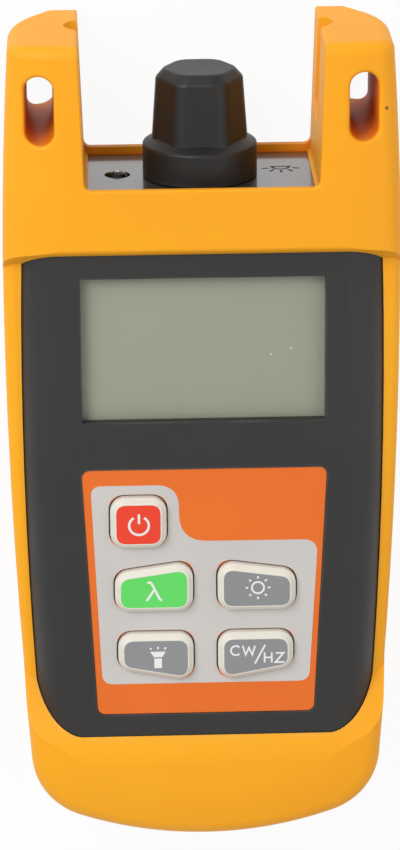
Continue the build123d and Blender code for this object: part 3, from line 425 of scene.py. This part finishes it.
def rounded(points, radii, steps=8):
    """A polygon with its corners rounded, each with its own radius."""
    loop = []
    for i, (point, radius) in enumerate(zip(points, radii)):
        corner = Vector(point)
        before = Vector(points[i - 1]) - corner
        after = Vector(points[(i + 1) % len(points)]) - corner
        reach = min(radius / math.tan(before.angle(after) / 2),
                    0.49 * before.length, 0.49 * after.length)
        start = corner + before.normalized() * reach
        end = corner + after.normalized() * reach
        for step in range(steps + 1):
            t = step / steps
            loop.append(tuple((1 - t)**2 * start + 2 * t * (1 - t) * corner + t**2 * end))
    return loop


def grown(points, by):
    """A convex polygon with every side moved out by the same distance."""
    moved = []
    for i, point in enumerate(points):
        here = Vector(point)
        coming = (here - Vector(points[i - 1])).normalized()
        leaving = (here - Vector(points[(i + 1) % len(points)])).normalized()
        moved.append(tuple(here + (coming + leaving) * by / abs(coming.cross(leaving))))
    return moved


def band(points, width):
    """The outline of a stroke that follows these points."""
    left = []
    right = []
    for i, point in enumerate(points):
        here = Vector(point)
        coming = (here - Vector(points[i - 1])).normalized() if i else None
        leaving = (Vector(points[i + 1]) - here).normalized() if i + 1 < len(points) else coming
        along = ((coming or leaving) + leaving).normalized()
        across = Vector((-along.y, along.x)) * width / 2 / max(along.dot(leaving), 0.4)
        left.append(tuple(here + across))
        right.append(tuple(here - across))
    return right + left[::-1]


def prisms(loops):
    """A mesh of thin prisms, each a trace higher than the last so that none share a plane."""
    shape = bmesh.new()
    for i, loop in enumerate(loops):
        top = INK / 2 + i * TRACE
        low = [shape.verts.new((x * MM, y * MM, -INK / 2 * MM)) for x, y in loop]
        high = [shape.verts.new((x * MM, y * MM, top * MM)) for x, y in loop]
        shape.faces.new(high)
        shape.faces.new(low[::-1])
        for j in range(len(loop)):
            shape.faces.new((low[j - 1], low[j], high[j], high[j - 1]))
    mesh = bpy.data.meshes.new("strokes")
    shape.to_mesh(mesh)
    shape.free()
    return mesh


def arc(x, y, radius, first, last, count=24):
    """Points on an arc, with angles in degrees from +X."""
    turns = [math.radians(first + (last - first) * i / count) for i in range(count + 1)]
    return [(x + radius * math.cos(turn), y + radius * math.sin(turn)) for turn in turns]


def rays(x, y, inner, outer, angles):
    """Short strokes that point away from a middle."""
    return [[arc(x, y, radius, angle, angle, 1)[0] for radius in (inner, outer)] for angle in angles]


def strokes(name, lines, width, where, material, body, extra=()):
    """Strokes of one width, and further outlines, as one layer."""
    placed(name, prisms([band(line, width) for line in lines] + list(extra)),
           where, material, body)
    print(name, len(lines), "strokes")


# %% [markdown]
# The grey field keeps to the keypad and leaves an orange frame. Its upper edge steps
# down in a soft S to the right of the power key. The key holes repeat the solids' ones.

# %% The label's grey field
HOLE_GAP = 0.33
HOLE_CORNER = 3.6
key_outlines = {
    "key_power": [(-19.7, -19.65), (-8.0, -19.65), (-8.0, -8.55), (-19.7, -8.55)],
    "key_wavelength": [(-18.95, -34.05), (-2.6, -34.05), (-2.6, -23.1), (-18.95, -25.45)],
    "key_display_light": [(2.6, -34.05), (18.95, -34.05), (18.95, -25.45), (2.6, -23.1)],
    "key_torch": [(-18.45, -47.2), (-2.6, -50.3), (-2.6, -39.2), (-18.45, -39.2)],
    "key_mode": [(2.6, -50.3), (18.45, -47.2), (18.45, -39.2), (2.6, -39.2)],
}

field = rounded([(-23.7, -6.25), (-5.45, -6.25), (-5.25, -18.85),
                 (23.65, -18.95), (21.9, -51.15), (-21.85, -51.15)],
                [2.2, 4.8, 6.0, 3.0, 2.4, 2.4])
holes = [rounded(grown(points, HOLE_GAP), [HOLE_CORNER] * 4) for points in key_outlines.values()]
grey_ink = ink("grey_ink", (0.63, 0.6, 0.575))
printed("label_field", [field] + holes, level(LABEL_Z), grey_ink, "case")
print("field corners:", len(field))

# %% [markdown]
# Each key carries a field of colour on its flat top, within the bevel.

# %% The coloured fields
KEY_BEVEL = 1.0
FIELD_MARGIN = 0.25
FIELD_CORNER = 2.1
red_ink = ink("red_ink", (0.89, 0.052, 0.016))
green_ink = ink("green_ink", (0.125, 0.73, 0.13))
mid_grey_ink = ink("mid_grey_ink", (0.275, 0.28, 0.29))
fields = {"key_power": red_ink, "key_wavelength": green_ink, "key_display_light": mid_grey_ink,
          "key_torch": mid_grey_ink, "key_mode": mid_grey_ink}
for key, color in fields.items():
    inside = grown(key_outlines[key], -KEY_BEVEL - FIELD_MARGIN)
    printed(key + "_field", [rounded(inside, [FIELD_CORNER] * 4)], level(KEY_Z),
            color, key)
    print(key, "field", len(inside), "corners")

# %% [markdown]
# White marks on the fields. They are plain pictograms: a ring with a bar for power, a
# Greek letter for wavelength, a small sun for the display's light, a torch, and the
# two modes of the beam.

# %% The white marks
white_ink = ink("white_ink", (0.86, 0.86, 0.84))
on_keys = level(KEY_Z + INK)
middle = (-13.75, -14.3)
strokes("power_mark", [arc(*middle, 2.05, 122, 418), [(-13.75, -11.75), (-13.75, -13.9)]], 0.5,
        on_keys, white_ink, "key_power")
strokes("wavelength_mark",
        [[(-12.15, -27.15), (-11.6, -27.05), (-11.2, -27.5), (-9.6, -30.9), (-9.15, -31.25)],
         [(-10.8, -28.85), (-12.35, -31.25)]], 0.5, on_keys, white_ink, "key_wavelength")
middle = (10.98, -28.7)
strokes("sun_mark", [arc(*middle, 1.28, 0, 359)] + rays(*middle, 2.05, 2.6, range(0, 360, 45)), 0.4,
        on_keys, white_ink, "key_display_light")
torch_head = [(-10.95, -44.1), (-9.25, -44.1), (-8.45, -42.85), (-11.75, -42.85)]
torch_body = [(-10.9, -46.6), (-9.3, -46.6), (-9.3, -44.4), (-10.9, -44.4)]
strokes("torch_mark", [((-11.75, -41.95), (-11.5, -42.35)), ((-10.1, -41.7), (-10.1, -42.3)),
                       ((-8.45, -41.85), (-8.75, -42.3))], 0.35,
        on_keys, white_ink, "key_torch", [torch_head, torch_body])
mode_lines = [arc(6.3, -42.95, 1.05, 45, 315, 16)]
mode_lines += [[(7.75, -41.9), (8.35, -44.0), (9.05, -42.3), (9.75, -44.0), (10.35, -41.9)]]
mode_lines += [((10.3, -46.0), (12.5, -41.7)), ((12.35, -43.5), (12.35, -45.8)),
               ((13.85, -43.5), (13.85, -45.8)), ((12.35, -44.65), (13.85, -44.65))]
mode_lines += [[(14.7, -43.65), (16.35, -43.65), (14.65, -45.75), (16.5, -45.75)]]
strokes("mode_mark", mode_lines, 0.38, on_keys, white_ink, "key_mode")

# %% [markdown]
# The port's barrel carries a fine thread, seen once the dust cap is off. One ridge of
# triangular section runs round the solid barrel and climbs 0.75 mm with every turn.

# %% The port's thread
PITCH = 0.75
TURNS = 9.5
STEPS = 48
BARREL = 4.0
RIDGE = 0.13
HALF_WIDTH = 0.3
SUNK = 0.05          # how far the ridge's foot lies inside the barrel
THREAD_FOOT_Y = 61.3
shape = bmesh.new()
rings = []
for i in range(int(TURNS * STEPS) + 1):
    angle = 2 * math.pi * i / STEPS
    climb = THREAD_FOOT_Y + PITCH * i / STEPS
    fade = min(1.0, i / STEPS, (TURNS * STEPS - i) / STEPS)
    section = [(-HALF_WIDTH, -SUNK), (0.0, RIDGE * fade), (HALF_WIDTH, -SUNK)]
    rings.append([shape.verts.new(((BARREL + high) * math.sin(angle) * MM, (climb + along) * MM,
                                   (AXIS_Z + (BARREL + high) * math.cos(angle)) * MM))
                  for along, high in section])
for near_ring, far_ring in zip(rings, rings[1:]):
    for i in range(3):
        j = (i + 1) % 3
        shape.faces.new((near_ring[i], near_ring[j], far_ring[j], far_ring[i]))
shape.faces.new(rings[0])
shape.faces.new(rings[-1][::-1])
bmesh.ops.recalc_face_normals(shape, faces=shape.faces)
thread_mesh = bpy.data.meshes.new("port_thread")
shape.to_mesh(thread_mesh)
shape.free()
placed("port_thread", thread_mesh, Matrix.Identity(4), port_nickel, "case")
print("thread:", len(rings), "sections")

# %% [markdown]
# A half sun with rays is moulded into the end face beside the port. Its lines are a thin
# dark layer: painted shade that stands in for the shade in the moulded lines. Two short
# light flecks are drawn on the window. The layer on the end face is turned to face the ears.

# %% End mark in painted shade, and light flecks on the window
PANE_Z = 30.8
on_end = (Matrix.Translation((0, (END_Y + INK / 2) * MM, 0))
          @ Matrix.Rotation(math.radians(-90), 4, "X"))
# The mark's dark lines are painted shade.
mark_shade_ink = ink("mark_shade_ink", (0.012, 0.012, 0.012), 0.7)
middle = (16.8, -13.5)
half_sun = [arc(*middle, 1.7, 180, 360, 12), [(14.6, -13.2), (19.0, -13.2)]]
strokes("end_mark", half_sun + rays(*middle, 2.6, 4.0, range(198, 343, 36)), 0.5,
        on_end, mark_shade_ink, "case")
# Two short light flecks on the window.
fleck_white = ink("fleck_white", (0.75, 0.75, 0.7), 0.7)
strokes("pane_flecks", [((13.75, 21.2), (14.2, 21.65)), ((17.8, 22.5), (18.35, 22.85))], 0.14,
        level(PANE_Z), fleck_white, "case")

# %% [markdown]
# The object lies on a pale floor. To the camera, in reflections and through clear
# pieces the floor is nearly white, while its plain colour still takes the shadow. Seen
# from below it is clear, so that the back can be looked at.

# %% Floor
FLOOR_DROP = 0.05    # keeps the floor and the boot's back out of one plane
floor_mesh = bpy.data.meshes.new("floor")
shape = bmesh.new()
bmesh.ops.create_grid(shape, x_segments=8, y_segments=8, size=4.0)
shape.to_mesh(floor_mesh)
shape.free()
floor = bpy.data.objects.new("floor", floor_mesh)
floor.location = (0, 0, -FLOOR_DROP * MM)
bpy.context.scene.collection.objects.link(floor)
floor_paint, tree, shader = new_material("floor_paint", (0.86, 0.86, 0.86), 0.7)
light = add(tree, "LightPath")
seen = add(tree, "Math", {"operation": "MAXIMUM"}, i0=light.outputs["Is Camera Ray"],
           i1=light.outputs["Is Glossy Ray"])
seen = add(tree, "Math", {"operation": "MAXIMUM"}, i0=seen.outputs["Value"],
           i1=light.outputs["Is Transmission Ray"])
share = add(tree, "MapRange", {"To Max": 0.93}, Value=seen.outputs["Value"])
glow = add(tree, "Emission", {"Color": (1, 1, 1, 1), "Strength": 1.0})
both = tree.nodes.new("ShaderNodeMixShader")
tree.links.new(share.outputs["Result"], both.inputs[0])
tree.links.new(shader.outputs["BSDF"], both.inputs[1])
tree.links.new(glow.outputs["Emission"], both.inputs[2])
from_below = add(tree, "NewGeometry")
clear = add(tree, "BsdfTransparent")
sided = tree.nodes.new("ShaderNodeMixShader")
tree.links.new(from_below.outputs["Backfacing"], sided.inputs[0])
tree.links.new(both.outputs["Shader"], sided.inputs[1])
tree.links.new(clear.outputs["BSDF"], sided.inputs[2])
tree.links.new(sided.outputs["Shader"], tree.nodes["Material Output"].inputs["Surface"])
floor_mesh.materials.append(floor_paint)
print("floor at", round(floor.location.z, 6))

# %% [markdown]
# A white world lights all sides evenly, and two large lamps shape the form: one from
# beyond the left ear, and a weaker one from the right that opens the shadows. Only the
# camera sees the world at full white.

# %% World and lamps
world = bpy.data.worlds.new("studio")
bpy.context.scene.world = world
world.use_nodes = True
tree = world.node_tree
light = add(tree, "LightPath")
lit = tree.nodes["Background"]
lit.inputs["Color"].default_value = (1, 1, 1, 1)
lit.inputs["Strength"].default_value = 0.55
white = add(tree, "Background", {"Color": (1, 1, 1, 1), "Strength": 1.0})
both = tree.nodes.new("ShaderNodeMixShader")
tree.links.new(light.outputs["Is Camera Ray"], both.inputs[0])
tree.links.new(lit.outputs["Background"], both.inputs[1])
tree.links.new(white.outputs["Background"], both.inputs[2])
tree.links.new(both.outputs["Shader"], tree.nodes["World Output"].inputs["Surface"])


def soft_lamp(name, place, watts, size):
    """A square lamp that faces the object."""
    data = bpy.data.lights.new(name, "AREA")
    data.energy = watts
    data.size = size
    lamp = bpy.data.objects.new(name, data)
    lamp.location = place
    lamp.rotation_euler = (-Vector(place)).to_track_quat("-Z", "Y").to_euler()
    bpy.context.scene.collection.objects.link(lamp)


soft_lamp("key_lamp", (-0.6, 0.75, 0.95), 10.0, 0.7)
soft_lamp("fill_lamp", (0.8, 0.1, 0.9), 2.0, 0.9)
bpy.context.scene.view_settings.view_transform = "Standard"
print("lamps:", len(bpy.data.lights))
